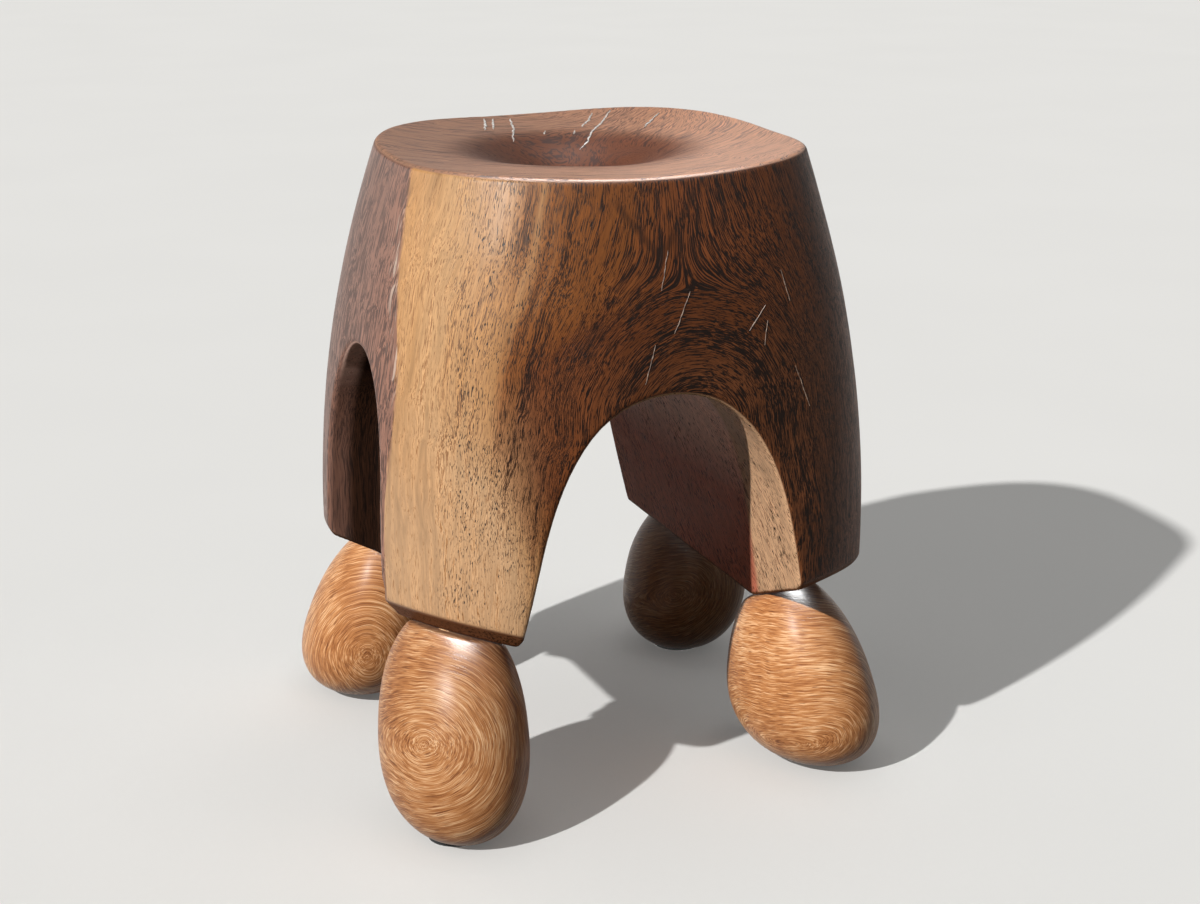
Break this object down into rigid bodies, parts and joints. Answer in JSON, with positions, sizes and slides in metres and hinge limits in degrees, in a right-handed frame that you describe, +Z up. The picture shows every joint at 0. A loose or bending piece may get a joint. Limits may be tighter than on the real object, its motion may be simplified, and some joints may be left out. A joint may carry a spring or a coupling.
{
  "type": "stool",
  "caption": "Carved hardwood stool with a dished seat, a front-to-back arch and side niches, standing on egg-shaped pegged feet.",
  "frame": {"origin": "on the floor, under the middle of the whole stool", "axes": "+Z up, +X to the right for someone who looks at the front arch, +Y from the front to the back"},
  "size_m": [0.3868, 0.3905, 0.4515],
  "materials": {
    "carved_hardwood": "oiled, satin, dark figured heartwood with a golden sapwood band",
    "egg_wood": "oiled, satin, orange-brown end grain",
    "peg_wood": "raw turned hardwood",
    "pad_rubber": "matt black"
  },
  "bodies": {
    "root": {"carved_body": "carved_hardwood", "egg_foot_front_left": "egg_wood", "egg_foot_front_right": "egg_wood", "egg_foot_back_left": "egg_wood", "egg_foot_back_right": "egg_wood", "dowel_front_left": "peg_wood", "dowel_front_right": "peg_wood", "dowel_back_left": "peg_wood", "dowel_back_right": "peg_wood", "glide_pad_front_left": "pad_rubber", "glide_pad_front_right": "pad_rubber", "glide_pad_back_left": "pad_rubber", "glide_pad_back_right": "pad_rubber"}
  },
  "joints": []
}
